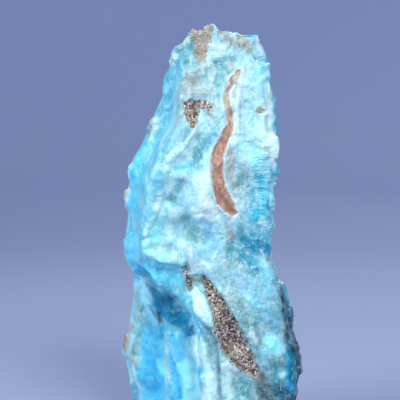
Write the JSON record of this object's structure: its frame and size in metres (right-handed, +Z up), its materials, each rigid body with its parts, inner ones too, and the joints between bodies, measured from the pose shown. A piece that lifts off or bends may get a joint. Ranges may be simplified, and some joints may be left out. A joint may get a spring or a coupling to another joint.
{
  "type": "blue aragonite mineral specimen",
  "caption": "Tall rough slab of pale blue aragonite with curtain-like ribs, a drooping lobe and a hollow, broken on its sides and standing on a flat-footed broken base.",
  "frame": {"origin": "middle of the stone's box, at the level of the surface that it stands on", "axes": "+Z up along the stone's length, -Y towards the narrow broken face with the lobe and the ribs, +X to the right of someone looking at that face"},
  "size_m": [0.0344, 0.032, 0.077],
  "materials": {
    "aragonite": "satin"
  },
  "bodies": {
    "root": {"blue_aragonite": "aragonite"}
  },
  "joints": []
}
